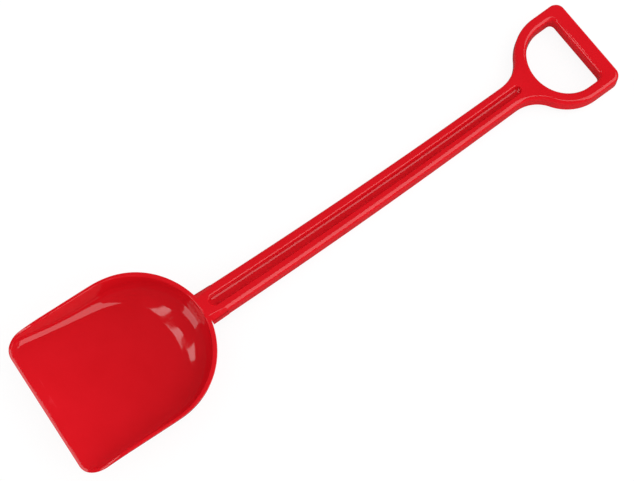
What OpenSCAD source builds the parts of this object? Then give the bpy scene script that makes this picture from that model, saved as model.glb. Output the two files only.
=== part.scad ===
// A child's sand shovel: a dished scoop, a bowed shaft with a hollow back, and a D grip.
// It lies on its heel and on the shaft, and the tip points along -Y.

/* [Overall] */
// Length from the scoop's tip to the far edge of the grip
length = 550; // [500:5:600]
// Thickness of the shaft's and the grip's skin
skin = 2.6; // [2:0.1:3]

/* [Scoop] */
// Length of the scoop from its tip to the back of its rim
scoop_len = 151; // [142:1:160]
// Width of the scoop just behind its front corners
scoop_front_w = 132.8; // [124:0.2:138]
// Greatest width of the scoop
scoop_w = 134; // [128:0.2:142]
// Distance from the tip to the greatest width
widest_at = 82.8; // [76:0.2:90]
// Width that a front corner's rounding takes up
corner_w = 14.5; // [12:0.5:17]
// Length that a front corner's rounding takes up
corner_len = 18.7; // [16:0.1:22]
// Depth of the floor below the line of the rim
scoop_depth = 26; // [22:0.5:30]
// Distance from the tip at which the floor reaches its full depth
floor_reach = 100; // [90:1:110]
// Wall thickness of the scoop
wall = 3; // [2.4:0.1:3.4]
// Width of the flat band round the rim
rim_w = 2.8; // [2.4:0.1:3.2]
// Depth of the band that counts as the rim
rim_h = 5; // [4:0.5:6]
// How far the rim dips toward the tip
tip_dip = 8.1; // [6:0.1:10]
// Length over which the rim dips toward the tip
tip_dip_len = 38.4; // [32:0.4:46]
// Inside radius at the foot of the wall near the tip
foot_r_tip = 5; // [4:0.5:6]
// Inside radius at the foot of the wall at the back
foot_r_back = 28; // [24:0.5:30]

/* [Shaft] */
// Width of the shaft at the scoop
shaft_w_scoop = 26.4; // [24:0.2:29]
// Width of the shaft at the grip
shaft_w_grip = 21.7; // [20:0.1:24]
// Depth of the shaft
shaft_depth = 13; // [11:0.5:15]
// How far the middle of the shaft bows away from a straight line
shaft_bow = 7.9; // [6:0.1:9]
// Radius of the shaft's two shoulders
shoulder_r = 3.6; // [2.5:0.1:4]
// Length of the square-shouldered root behind the rim
root_len = 14; // [10:1:20]
// Distance from the back of the rim to the start of the groove
groove_gap = 5; // [3:0.5:8]
// Width of the groove at the scoop
groove_w_scoop = 10.1; // [9:0.1:11]
// Width of the groove at the grip
groove_w_grip = 8.1; // [7.6:0.1:9]
// Depth of the groove
groove_depth = 4.5; // [3:0.1:5]
// Number of cross ribs in the hollow back of the shaft
rib_count = 7; // [3:1:9]
// Thickness of a cross rib
rib_t = 2; // [1.6:0.1:2.6]

/* [Grip] */
// Width of the grip
grip_w = 88; // [80:1:94]
// Length of the grip's straight sides, far corners included
grip_side = 27.6; // [24:0.2:32]
// Length of the rounded yoke between the shaft and the straight sides
yoke_len = 40; // [36:0.5:44]
// Width of the bar that the hand closes on
bar_w = 13.5; // [12:0.5:15]
// Width of the two arms
arm_w = 10.1; // [9:0.1:11]
// Width of the yoke in the middle
yoke_w = 10; // [9:0.5:11]
// Outer radius of the far corners
grip_corner_r = 8.4; // [7:0.2:10]
// Radius of the finger opening's far corners
eye_corner_r = 5; // [4:0.5:7]
// Depth of the grip
grip_depth = 12.6; // [11:0.2:14]
// Edge radius of the grip
grip_edge_r = 3; // [2:0.2:3.4]
// Radius of the fillets where the shaft widens into the yoke
neck_r = 30; // [24:1:36]

/* [Hidden] */
// Angles of the rim, of the walls and of the grip, in degrees
rim_rise = 7.4;
grip_pitch = 4.7;
scoop_draft = 10;
side_draft = 1.5;
groove_lean = 15;
half_turn = 180;
// Shape numbers of the scoop's rounded back
back_power = 2.2;
side_power = 1.85;
// How fast the foot radius grows toward the back
foot_power = 2.5;
// Least radius left inside a front corner
corner_least = 2;
// Floor between the foot of the wall and the flat of the floor
floor_lead = 3;
// How far the floor's edge lies behind the tip
floor_front = 10;
// Share of a wall that its foot radius may take
foot_share = 0.9;
// Small edge radii of the rim, the root and the groove's lips
rim_edge_r = 0.6;
root_edge_r = 0.6;
lip_r = 0.8;
// Radius at the foot of the groove
groove_foot_r = 2.2;
// Distance from the groove's far end to the start of the finger opening
groove_end_gap = 16;
// Distance that the ribs stay back from the open side
rib_inset = 1.5;
// Length of the root's gusset under the scoop
gusset_len = 30;
// Share of its width that the groove keeps at its very ends
narrow_share = 0.4;
// Least share of the groove's depth that the face keeps past the groove's ends
least_share = 0.02;
// Depth that the gusset gains toward the heel
gusset_drop = 8;
// Stations round the scoop's front corner, side and back, and rows down its wall
corner_n = 8;
side_n = 8;
back_n = 15;
row_n = 12;
arc_n = 8;
// Segments of small arcs, of the grip's arc and of a shaft bay between ribs
round_n = 4;
yoke_n = 12;
fillet_n = 8;
bay_n = 2;

red = "#d3141c";

// General helpers
function mix(a, b, t) = a + (b - a) * t;
function unit2(v) = v / norm(v);
function bend(a, c, b, t, w) =
    (a * (1 - t) * (1 - t) + c * 2 * t * (1 - t) * w + b * t * t) / ((1 - t) * (1 - t) + 2 * t * (1 - t) * w + t * t);
function bends(a, c, b, w, n) = [for (i = [0:n]) bend(a, c, b, i / n, w)];
function path_len(p, i = 0) = i >= len(p) - 1 ? 0 : norm(p[i + 1] - p[i]) + path_len(p, i + 1);
function walk(p, s, i = 0) =
    let (d = norm(p[i + 1] - p[i]))
    s <= d || i >= len(p) - 2 ? (d > 0 ? mix(p[i], p[i + 1], s / d) : p[i]) : walk(p, s - d, i + 1);
function mirrored(p) = [for (i = [len(p) - 1:-1:0]) [-p[i][0], p[i][1]]];

// Side view of the scoop
rim_slope = tan(rim_rise);
function rim_line(y) = (scoop_len - y) * rim_slope;
function rim_z(y) = rim_line(y) - tip_dip * pow(max(tip_dip_len - y, 0) / tip_dip_len, 2);
function deepening(y) = 1 - pow(1 - min(y, floor_reach) / floor_reach, 2);
floor_start = (rim_line(rim_w) - rim_z(rim_w) - scoop_depth * deepening(rim_w)) / (1 - deepening(rim_w));
function floor_z(y) = rim_line(y) - mix(floor_start, scoop_depth, deepening(y));
function foot_r(y) = mix(foot_r_tip, foot_r_back, pow(max(y, 0) / scoop_len, foot_power));

// Plan of the scoop: stations run from the right front corner to the middle of the back
stations = concat(
    [for (i = [0:corner_n - 1]) [0, i / corner_n]],
    [for (i = [0:side_n - 1]) [1, i / side_n]],
    [for (i = [0:back_n]) [2, i / back_n]]);
half_n = len(stations) - 1;
function plan(st, tip_in, side_in, back_in) =
    let (rx = max(corner_w - side_in, corner_least),
        ry = max(corner_len - tip_in, corner_least),
        y0 = tip_in + ry,
        y = mix(y0, widest_at, st[1]),
        v = sin(90 * st[1]))
    st[0] == 0 ? [scoop_front_w / 2 - side_in - rx * (1 - sin(90 * st[1])), tip_in + ry * (1 - cos(90 * st[1]))]
    : st[0] == 1 ? [mix(scoop_front_w, scoop_w, st[1]) / 2 - side_in, y]
    : [(scoop_w / 2 - side_in) * pow(max(1 - pow(v, back_power), 0), 1 / side_power),
        widest_at + (scoop_len - widest_at - back_in) * v];
function at_rim(p) = [p[0], p[1], rim_z(p[1])];
function at_floor(p, drop) = [p[0], p[1], floor_z(p[1]) - drop];

// Inset of the wall's foot and of the floor's edge at a height h of the wall
function foot_in(h) = max(h, 0) * tan(scoop_draft);
function foot_tangent(y) = foot_r(y) * tan((90 - scoop_draft) / 2);
function edge_in(y) = rim_w + foot_in(rim_z(y) - floor_z(y)) + foot_tangent(y) + floor_lead;
side_edge_in = edge_in(widest_at);
back_edge_in = edge_in(scoop_len);
function floor_edge(st) =
    let (y = max(plan(st, 0, 0, 0)[1], corner_len))
    plan(st, floor_front, edge_in(min(y, widest_at)), back_edge_in);

// One section of the wall, from the rim down to the floor's edge, on the inside or the outside
function wall_path(st, inset, drop) =
    let (p0 = plan(st, 0, 0, 0),
        top = at_rim(plan(st, inset, inset, inset)),
        h = rim_z(top[1]) - floor_z(top[1]) + drop,
        k = inset + foot_in(h),
        corner = at_floor(plan(st, k, k, k), drop),
        edge = at_floor(floor_edge(st), drop),
        t = foot_tangent(p0[1]) + drop * tan((90 - scoop_draft) / 2),
        up = norm(corner - top),
        along = norm(edge - corner),
        a = mix(corner, top, up > 0 ? min(foot_share, t / up) : 0),
        b = mix(corner, edge, min(foot_share, min(t, t * max(h, 0) / max(up, rim_edge_r)) / along)),
        b_on = at_floor([b[0], b[1]], drop))
    concat([top], bends(a, corner, b_on, cos((90 - scoop_draft) / 2), arc_n), [edge]);
function inner_path(st) = wall_path(st, rim_w, 0);
function outer_path(st) = wall_path(st, 0, wall);
function rows(p, start) =
    let (total = path_len(p))
    [for (j = [0:row_n]) walk(p, mix(start, total, j / row_n))];

// Section of the rim band at a station
function rim_section(st) =
    let (i = inner_path(st), o = outer_path(st), a = i[0], b = o[0], e = unit2(a - b) * rim_edge_r)
    concat(
        bends(walk(o, rim_edge_r), b, b + e, 1, 2),
        bends(a - e, a, walk(i, rim_edge_r), 1, 2),
        [for (j = [1:3]) walk(i, mix(rim_edge_r, rim_h, j / 3))],
        [for (j = [3:-1:1]) walk(o, mix(rim_edge_r, rim_h, j / 3))]);

function flip3(loop) = [for (p = loop) [-p[0], p[1], p[2]]];
function all_round(half) = concat(half, [for (i = [half_n - 1:-1:0]) flip3(half[i])]);

// Solids from loops of points
function quad(a, b, c, d) = [[a, b, c], [a, c, d]];
function tube_faces(n, m, closed) =
    [for (k = [0:(closed ? n - 1 : n - 2)]) for (j = [0:m - 1])
        let (k2 = (k + 1) % n, j2 = (j + 1) % m)
        each quad(k * m + j, k * m + j2, k2 * m + j2, k2 * m + j)];

// Triangles of an end face that isn't convex: corners are cut off it one at a time
function facing(p) = let (n = len(p)) [for (q = p) 1] * [for (i = [0:n - 1]) cross(p[i], p[(i + 1) % n])];
function laid_flat(p) =
    let (f = facing(p),
        k = abs(f[2]) >= max(abs(f[0]), abs(f[1])) ? 2 : abs(f[1]) >= abs(f[0]) ? 1 : 0,
        u = (k + 1) % 3,
        v = (k + 2) % 3)
    [for (q = p) f[k] > 0 ? [q[u], q[v]] : [q[v], q[u]]];
function turn(a, b, c) = (b[0] - a[0]) * (c[1] - a[1]) - (b[1] - a[1]) * (c[0] - a[0]);
function covers(a, b, c, q) = turn(a, b, q) >= 0 && turn(b, c, q) >= 0 && turn(c, a, q) >= 0;
function is_ear(p, a, b, c, rest) =
    turn(p[a], p[b], p[c]) > 0
    && len([for (q = rest) if (q != a && q != b && q != c && covers(p[a], p[b], p[c], p[q])) q]) == 0;
function find_ear(p, rest, i) =
    let (n = len(rest))
    i >= n - 1 || is_ear(p, rest[(i + n - 1) % n], rest[i], rest[i + 1], rest) ? i : find_ear(p, rest, i + 1);
function cut_ears(p, rest) =
    len(rest) < 4 ? [rest]
    : let (n = len(rest), i = find_ear(p, rest, 0))
    concat([[rest[(i + n - 1) % n], rest[i], rest[(i + 1) % n]]],
        cut_ears(p, [for (j = [0:n - 1]) if (j != i) rest[j]]));
function end_face(loop) = cut_ears(laid_flat(loop), [for (j = [0:len(loop) - 1]) j]);

module ring_solid(loops) {
    n = len(loops);
    m = len(loops[0]);
    polyhedron(points = [for (l = loops) each l], faces = tube_faces(n, m, true));
}
module loft(loops) {
    n = len(loops);
    m = len(loops[0]);
    polyhedron(
        points = [for (l = loops) each l],
        faces = concat(
            [for (t = end_face(loops[0])) [t[2], t[1], t[0]]],
            [for (t = end_face(loops[n - 1])) [for (j = t) (n - 1) * m + j]],
            tube_faces(n, m, false)));
}

// Faces of a dished sheet that runs all round and is closed across the middle
function sheet_faces(first, n, m, up) =
    let (f = [
        for (k = [0:n - 1]) for (j = [0:m - 2])
            let (k2 = (k + 1) % n)
            each quad(k * m + j, k * m + j + 1, k2 * m + j + 1, k2 * m + j),
        for (k = [0:half_n - 1])
            let (r = k * m + m - 1, r2 = r + m, l = (n - k) * m - 1, l2 = l - m)
            each (r2 == l2 ? [[r, l, r2]] : quad(r, l, l2, r2))])
    [for (t = f) [for (i = up ? [0, 1, 2] : [2, 1, 0]) t[i] + first]];

module scoop_pan() {
    inner = all_round([for (s = stations) rows(inner_path(s), rim_h)]);
    outer = all_round([for (s = stations) rows(outer_path(s), rim_h)]);
    n = len(inner);
    m = row_n + 1;
    color(red)
    polyhedron(
        points = concat([for (l = inner) each l], [for (l = outer) each l]),
        faces = concat(
            sheet_faces(0, n, m, true),
            sheet_faces(n * m, n, m, false),
            [for (k = [0:n - 1])
                let (k2 = (k + 1) % n)
                each quad(k * m, k2 * m, (n + k2) * m, (n + k) * m)]));
}

module scoop_rim() {
    color(red)
    ring_solid(all_round([for (s = stations) rim_section(s)]));
}

// The scoop with its hollow filled, which the root is cut to fit
module scoop_block() {
    outside = all_round([for (s = stations)
        let (o = outer_path(s), r = rim_section(s))
        concat([r[2], r[1], r[0]], [for (j = [1:3]) walk(o, mix(rim_edge_r, rim_h, j / 3))],
            [for (j = [1:row_n]) rows(o, rim_h)[j]])]);
    n = len(outside);
    m = len(outside[0]);
    polyhedron(
        points = [for (l = outside) each l],
        faces = concat(
            sheet_faces(0, n, m, false),
            [for (k = [0:half_n - 1])
                let (r = k * m, r2 = r + m, l = (n - 1 - k) * m, l2 = l - m)
                each (r2 == l2 ? [[r, l, r2]] : quad(r, l, l2, r2))]));
}

// Grip: centre of the yoke's arc, the finger opening and the fillets of the neck
yoke_y = length - grip_side;
eye_half_w = grip_w / 2 - arm_w;
eye_len = yoke_len - yoke_w;
eye_far = length - bar_w;
eye_near = yoke_y - eye_len;
function yoke_out(a) = [grip_w / 2 * sin(a), yoke_y - yoke_len * cos(a)];
function yoke_in(a) = [eye_half_w * sin(a), yoke_y - eye_len * cos(a)];
function yoke_normal(a) = unit2([sin(a) * yoke_len, -cos(a) * grip_w / 2]);
function neck_miss(a) = (yoke_out(a) + neck_r * yoke_normal(a))[0] - neck_r - shaft_w_grip / 2;
function solve_neck(lo, hi, n) =
    let (mid = (lo + hi) / 2)
    n == 0 ? mid : neck_miss(mid) > 0 ? solve_neck(lo, mid, n - 1) : solve_neck(mid, hi, n - 1);
neck_angle = solve_neck(0, 80, 30);
neck_centre = yoke_out(neck_angle) + neck_r * yoke_normal(neck_angle);
neck_start = neck_centre[1];
function neck_half(y) = neck_centre[0] - sqrt(neck_r * neck_r - pow(y - neck_start, 2));

// Side view of the shaft and the grip
shaft_start = scoop_len + root_len;
span = neck_start - scoop_len;
function face_z(y) = -4 * shaft_bow * (y - scoop_len) / span * (1 - (y - scoop_len) / span);
function grip_z(y) = face_z(neck_start) + (y - neck_start) * tan(grip_pitch);
function shaft_half(y) = mix(shaft_w_scoop, shaft_w_grip, (y - scoop_len) / span) / 2;
function groove_half(y) = mix(groove_w_scoop, groove_w_grip, (y - scoop_len) / span) / 2;

// The groove starts behind the rim and ends in the neck, and both its ends are round
groove_start = scoop_len + groove_gap;
groove_end = eye_near - groove_end_gap;
shaft_end = groove_end + skin;
end_shares = [0, 0.1, 0.3, 0.6, 1];
groove_starts = [for (t = end_shares) groove_start + groove_half(groove_start) * t];
groove_ends = [for (i = [len(end_shares) - 1:-1:0]) groove_end - groove_half(groove_end) * end_shares[i]];
function round_end(t) = sqrt(1 - pow(1 - min(max(t, 0), 1), 2));
function groove_share(y) =
    round_end((y - groove_start) / groove_half(y)) * round_end((groove_end - y) / groove_half(y));
function groove_side(y) =
    let (s = groove_share(y),
        w = groove_half(y) - lip_r / 2,
        foot = w - (groove_depth - lip_r) * tan(groove_lean),
        t = groove_foot_r * tan((90 - groove_lean) / 2),
        up = [t * sin(groove_lean), t * cos(groove_lean)],
        floor_pt = [foot, -groove_depth])
    [for (p = concat(
        bends(floor_pt - [min(t, foot * foot_share), 0], floor_pt, floor_pt + up, cos((90 - groove_lean) / 2), round_n),
        [[w, -lip_r], [w + lip_r, 0]]))
        [p[0] * max(s, narrow_share), p[1] * max(s, least_share)]];

// Section of the hollow-backed shaft: half width w, shoulder radius r and depth d, with a boss
// under the groove
function boss_half(y) = groove_half(y) + skin / 2;
boss_depth = groove_depth + skin;
function channel(y, w, r, d) =
    let (o = w + d * tan(side_draft),
        right = concat(
            groove_side(y),
            bends([w - r, 0], [w, 0], [w, -r], cos(45), round_n),
            [[o, -d], [o - skin, -d], [w - skin, -skin], [boss_half(y), -skin], [boss_half(y), -boss_depth]]))
    concat(right, mirrored(right));
function place(sec, y, z) = [for (i = [len(sec) - 1:-1:0]) [sec[i][0], y, sec[i][1] + z]];

// Cross ribs are spaced evenly, and the shaft has a station on both faces of each rib
rib_pitch = (neck_start - shaft_start) / (rib_count + 1);
function rib_y(i) = shaft_start + i * rib_pitch;
function bay(i) =
    let (a = i == 0 ? shaft_start : rib_y(i) + rib_t / 2, b = i == rib_count ? neck_start : rib_y(i + 1) - rib_t / 2)
    [for (j = [0:bay_n]) mix(a, b, j / bay_n)];
shaft_stations = [for (i = [0:rib_count]) each bay(i)];
neck_stations = concat([for (y = groove_ends) if (y > neck_start + rim_edge_r) y], [shaft_end]);

module shaft_root() {
    gusset_start = scoop_len - gusset_len;
    color(red)
    difference() {
        loft([for (y = concat([gusset_start, mix(gusset_start, scoop_len, 0.5), scoop_len], groove_starts, [shaft_start]))
            let (d = shaft_depth + gusset_drop * (shaft_start - y) / (shaft_start - gusset_start))
            place(channel(y, shaft_half(y), root_edge_r, d), y, face_z(max(y, scoop_len)))]);
        scoop_block();
    }
}

// Past the neck's start the shaft widens along the fillets and takes on the grip's edge and depth
module shaft() {
    color(red)
    loft(concat(
        [for (y = shaft_stations) place(channel(y, shaft_half(y), shoulder_r, shaft_depth), y, face_z(y))],
        [for (y = neck_stations)
            let (t = (y - neck_start) / (shaft_end - neck_start))
            place(channel(y, neck_half(y), mix(shoulder_r, grip_edge_r, t), mix(shaft_depth, grip_depth, t)),
                y, grip_z(y))]));
}

module shaft_rib(i) {
    function plate(y) =
        let (w = shaft_half(y),
            lean = shaft_depth * tan(side_draft) / (shaft_depth - skin),
            d = shaft_depth - rib_inset,
            right = [[w - skin + lean * (d - skin), -d], [w - skin, -skin], [boss_half(y), -skin],
                [boss_half(y), -boss_depth]])
        place(concat(right, mirrored(right)), y, face_z(y));
    color(red)
    loft([plate(rib_y(i) + rib_t / 2), plate(rib_y(i) - rib_t / 2)]);
}

// Section of the grip between an outer point p and an inner point q of its plan
function grip_loop(p, q) =
    let (w = norm(q - p), e = unit2(q - p), g = grip_depth * tan(side_draft), r = grip_edge_r, d = grip_depth,
        sec = concat(
            [[-g, -d]],
            bends([0, -r], [0, 0], [r, 0], cos(45), round_n),
            bends([w - r, 0], [w, 0], [w, -r], cos(45), round_n),
            [[w + g, -d], [w + g - skin, -d], [w - skin, -skin], [skin, -skin], [skin - g, -d]]))
    [for (s = sec)
        let (y = p[1] + e[1] * s[0])
        [p[0] + e[0] * s[0], y, grip_z(y) + s[1]]];
function eye_corner(b) =
    [eye_half_w - eye_corner_r * (1 - cos(b)), eye_far - eye_corner_r * (1 - sin(b))];
function grip_corner(b) =
    [grip_w / 2 - grip_corner_r * (1 - cos(b)), length - grip_corner_r * (1 - sin(b))];
arm_loops = concat(
    [for (i = [0:yoke_n]) let (a = mix(neck_angle, 90, i / yoke_n)) grip_loop(yoke_out(a), yoke_in(a))],
    [grip_loop(grip_corner(0), eye_corner(0))]);
bar_half = [for (i = [0:2 * round_n])
    let (b = 90 * i / (2 * round_n))
    grip_loop(grip_corner(b), eye_corner(b))];

module grip_arm() {
    color(red)
    loft(arm_loops);
}

module grip_bar() {
    color(red)
    loft(concat(bar_half, [for (i = [2 * round_n:-1:0]) flip3(bar_half[i])]));
}

// Plan of the neck and the middle of the yoke, with its free edges moved inward by d
fillet_turn = atan2(-yoke_normal(neck_angle)[1], -yoke_normal(neck_angle)[0]);
fillet_from = half_turn - asin((shaft_end - neck_start) / neck_r);
function yoke_across(a) = unit2(yoke_in(a) - yoke_out(a));
function neck_side(d) = concat(
    [[neck_half(shaft_end) - d, shaft_end]],
    [for (i = [1:fillet_n - 1])
        let (a = mix(fillet_from, fillet_turn, i / fillet_n))
        neck_centre + (neck_r + d) * [cos(a), sin(a)]],
    [yoke_out(neck_angle) + yoke_across(neck_angle) * d]);
function yoke_side(d, last) =
    [for (i = [yoke_n:-1:1]) let (a = last * i / yoke_n) yoke_in(a) - yoke_across(a) * d];
function closed_plan(right, d) = concat(right, [yoke_in(0) - yoke_across(0) * d], mirrored(right));
function grip_level(plan, z) = [for (p = plan) [p[0], p[1], grip_z(p[1]) + z]];

// Plan of the neck's hollow back, which has webs toward the shaft and the arms
hollow_from = half_turn - asin((shaft_end + skin - neck_start) / (neck_r + skin));
hollow_turn = fillet_turn + atan(skin / neck_r);
hollow_last = neck_angle - atan(skin / eye_half_w);
hollow_side = [for (i = [0:fillet_n])
    let (a = mix(hollow_from, hollow_turn, i / fillet_n))
    neck_centre + (neck_r + skin) * [cos(a), sin(a)]];

module grip_neck() {
    r = grip_edge_r;
    spread = grip_depth * tan(side_draft);
    edge = concat(bends([r, 0], [0, 0], [0, -r], cos(45), round_n), [[-spread, -grip_depth]]);
    hollow = closed_plan(concat(hollow_side, yoke_side(skin, hollow_last)), skin);
    color(red)
    loft(concat(
        [for (p = edge)
            grip_level(closed_plan(concat(neck_side(p[0]), yoke_side(p[0], neck_angle)), p[0]), p[1])],
        [for (z = [-grip_depth, -skin]) grip_level(hollow, z)]));
}

// The shovel lies on the lowest points of its heel and of its bowed shaft
heel_points = [for (p = rows(outer_path(stations[half_n]), rim_h)) [p[1], p[2]]];
belly_points = [for (y = shaft_stations) [y, face_z(y) - shaft_depth]];
lie_slope = max([for (h = heel_points) min([for (b = belly_points) (b[1] - h[1]) / (b[0] - h[0])])]);
lie_angle = atan(lie_slope);
lift = -min([for (b = belly_points) b[1] * cos(lie_angle) - b[0] * sin(lie_angle)]);
tip_y = rim_z(0) * sin(lie_angle);
end_y = (length + grip_depth * tan(side_draft)) * cos(lie_angle);
module laid() {
    translate([0, -(tip_y + end_y) / 2, lift])
    rotate([-lie_angle, 0, 0])
    children();
}

laid() scoop_pan();
laid() scoop_rim();
laid() shaft_root();
laid() shaft();
for (i = [1:rib_count]) laid() shaft_rib(i);
laid() grip_neck();
laid() mirror([1, 0, 0]) grip_arm();  // grip_arm_left
laid() grip_arm();  // grip_arm_right
laid() grip_bar();
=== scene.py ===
# %% [markdown]
# # A child's sand shovel in one piece of glossy red plastic
# The real shovel comes out of one mould: a dished scoop, a bowed shaft with a groove down its
# face and a hollow ribbed back, and a D-shaped grip. It has no parts that move. The CAD solids
# hold every main shape as flat facets. A glossy surface shows each facet as a mirror, so here the
# same shapes are drawn again with fine meshes, and the CAD solids stay behind them for physics.

# %% Load the frame
import math
import bpy
import bmesh
import numpy as np
from mathutils import Matrix, Vector


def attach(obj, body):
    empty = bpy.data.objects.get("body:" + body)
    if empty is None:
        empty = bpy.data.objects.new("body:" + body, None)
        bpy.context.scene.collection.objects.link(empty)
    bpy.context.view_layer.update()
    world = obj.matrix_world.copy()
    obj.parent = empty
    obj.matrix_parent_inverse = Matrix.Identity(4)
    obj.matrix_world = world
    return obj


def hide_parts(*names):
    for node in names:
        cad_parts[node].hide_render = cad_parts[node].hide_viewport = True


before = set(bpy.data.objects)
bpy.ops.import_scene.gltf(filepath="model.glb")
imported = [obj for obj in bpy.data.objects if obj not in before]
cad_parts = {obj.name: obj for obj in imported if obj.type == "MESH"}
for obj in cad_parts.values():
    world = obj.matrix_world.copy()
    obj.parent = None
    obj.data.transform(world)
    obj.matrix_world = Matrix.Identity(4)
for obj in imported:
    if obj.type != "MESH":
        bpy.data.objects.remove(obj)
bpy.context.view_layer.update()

# %% [markdown]
# ## Where things lie
# The shovel is drawn along its own shaft, in millimetres: x to the right, y from the scoop's tip
# to the far edge of the grip, and z up from the face of the shaft. It is then turned a little and
# lifted, so that it lies on its heel and on the belly of the shaft, as the CAD model does. A fine
# mesh bulges a hair more than flat facets, so the spots that touch the floor are held at it.

# %% From the shovel's own lines to the room
# the turn, the lift and the middle of the length with which the CAD model lies on the floor
LIE_ANGLE = math.radians(1.22836)
LIFT, MIDDLE = 27.825, 275.225


def to_room(points):
    """Turns points in the shovel's own millimetres into metres in the room."""
    p = np.asarray(points, float)
    y = p[..., 1] * math.cos(LIE_ANGLE) + p[..., 2] * math.sin(LIE_ANGLE) - MIDDLE
    z = -p[..., 1] * math.sin(LIE_ANGLE) + p[..., 2] * math.cos(LIE_ANGLE) + LIFT
    return np.stack([p[..., 0], y, np.maximum(z, 0)], -1) / 1000


print("shaft's face at the scoop's tip:", to_room([0.0, 0.0, 0.0]).round(4))

# %% [markdown]
# ## Roundings
# A mould has no sharp corners: every edge of the shovel is rounded. A rounding could be a bevel
# modifier, but here the outlines are formulas, and a conic curve can be worked out the same way.
# Its weight says how full it is: the cosine of half the turn gives a true circle.

# %% Blends and roundings
OUTWARD, INWARD, UPWARD, DOWNWARD = (1, 0), (-1, 0), (0, 1), (0, -1)
QUARTER = math.cos(math.pi / 4)


def mix(a, b, t):
    return a + (b - a) * t


def ease(t):
    t = min(max(t, 0), 1)
    return t * t * (3 - 2 * t)


def unit(v):
    return v / np.linalg.norm(v)


def conic(a, corner, b, weight, n):
    """n + 1 points of a rounding from a to b that leaves and arrives along the lines to corner."""
    t = np.linspace(0, 1, n + 1)[:, None]
    k = 2 * t * (1 - t) * weight
    return (a * (1 - t) ** 2 + corner * k + b * t ** 2) / ((1 - t) ** 2 + k + t ** 2)


def round_off(corner, come, leave, reach, weight, n):
    """Rounds a corner between a line that comes one way and a line that leaves another way."""
    corner, come, leave = (np.array(v, float) for v in (corner, come, leave))
    return conic(corner - come * reach, corner, corner + leave * reach, weight, n)


print("middle of a quarter round:", round_off((0, 0), OUTWARD, DOWNWARD, 1, QUARTER, 2)[1].round(3))

# %% [markdown]
# ## The scoop's side view
# Seen from the side, the rim falls in a straight line toward the tip, dips to the digging edge
# and rolls over it at the very end. The floor starts just under the tip and deepens in a smooth
# curve. Each height is a formula of y, so that any point of the scoop can ask for it.

# %% Side view of the scoop
SCOOP_LEN, SCOOP_DEPTH, FLOOR_REACH = 151.0, 26.0, 100.0
RIM_SLOPE, RIM_W = math.tan(math.radians(7.4)), 2.8
TIP_DIP, TIP_DIP_LEN = 8.1, 38.4
TIP_ROLL, TIP_ROLL_LEN = 0.9, 3.4


def rim_line(y):
    return (SCOOP_LEN - y) * RIM_SLOPE


def rim_z(y):
    dip = TIP_DIP * (max(TIP_DIP_LEN - y, 0) / TIP_DIP_LEN) ** 2
    roll = TIP_ROLL * max(TIP_ROLL_LEN - y, 0) / TIP_ROLL_LEN
    return rim_line(y) - dip - roll


def deepening(y):
    return 1 - (1 - min(y, FLOOR_REACH) / FLOOR_REACH) ** 2


# the floor starts at the inner edge of the tip's rim
TIP_DROP = rim_line(RIM_W) - rim_z(RIM_W)
FLOOR_START = (TIP_DROP - SCOOP_DEPTH * deepening(RIM_W)) / (1 - deepening(RIM_W))


def floor_z(y):
    return rim_line(y) - mix(FLOOR_START, SCOOP_DEPTH, deepening(y))


print("rim at the tip %.2f mm, floor at its deepest %.2f mm" % (rim_z(0), floor_z(FLOOR_REACH)))

# %% [markdown]
# ## The rounding at the foot of the walls
# Where the floor turns up into the wall, the real scoop has a rounding that is tight at the tip
# and wide at the back, so that sand slides off it. Toward the back, and a little toward the tip,
# it runs out farther along the floor than up the wall. The reflections show that, so two smooth
# steps along y say by how much.

# %% Foot of the walls
FOOT_TIP, FOOT_BACK, FOOT_POWER = 5.0, 28.0, 2.5
SWEEP_FROM, SWEEP_LEN, SWEEP = 70.0, 66.0, 0.75
TIP_SWEEP, TIP_SWEEP_LEN = 0.3, 55.0


def foot_r(y):
    return mix(FOOT_TIP, FOOT_BACK, (max(y, 0) / SCOOP_LEN) ** FOOT_POWER)


def sweep(y):
    """How many times as far the inside rounding runs along the floor as up the wall."""
    return (1 + SWEEP * ease((y - SWEEP_FROM) / SWEEP_LEN)
            + TIP_SWEEP * ease((TIP_SWEEP_LEN - y) / TIP_SWEEP_LEN))


print("rounding at the foot: %.1f mm at the tip, %.1f mm at the back" % (foot_r(0), foot_r(SCOOP_LEN)))

# %% [markdown]
# ## The scoop's plan
# From above, the scoop has a straight tip, two elliptical front corners, nearly straight sides
# and a full round back. A station is a zone and a share of the way through it, so that the rim,
# the foot of the wall and the edge of the floor can all be asked for at the same station.

# %% Plan of the scoop
FRONT, CORNER, SIDE, BACK = range(4)
WIDEST_AT, FRONT_W, SCOOP_W = 82.8, 132.8, 134.0
CORNER_W, CORNER_LEN, CORNER_LEAST = 14.5, 18.7, 2.0
BACK_POWER, SIDE_POWER = 2.2, 1.85
ZONE_STEPS = {FRONT: 12, CORNER: 20, SIDE: 20, BACK: 90}
STATIONS = [(zone, i / n) for zone, n in ZONE_STEPS.items() for i in range(n)] + [(BACK, 1.0)]


def plan(station, tip_in, side_in, back_in):
    """Point of the plan at a station, set in from the rim's outside by three insets."""
    zone, t = station
    front_half = FRONT_W / 2 - side_in
    corner_w = max(CORNER_W - side_in, CORNER_LEAST)
    corner_len = max(CORNER_LEN - tip_in, CORNER_LEAST)
    if zone == FRONT:
        return np.array([(front_half - corner_w) * t, tip_in])
    if zone == CORNER:
        a = t * math.pi / 2
        x = front_half - corner_w * (1 - math.sin(a))
        return np.array([x, tip_in + corner_len * (1 - math.cos(a))])
    if zone == SIDE:
        x = mix(FRONT_W, SCOOP_W, t) / 2 - side_in
        return np.array([x, mix(tip_in + corner_len, WIDEST_AT, t)])
    v = math.sin(t * math.pi / 2)
    x = (SCOOP_W / 2 - side_in) * max(1 - v ** BACK_POWER, 0) ** (1 / SIDE_POWER)
    return np.array([x, WIDEST_AT + (SCOOP_LEN - WIDEST_AT - back_in) * v])


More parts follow.
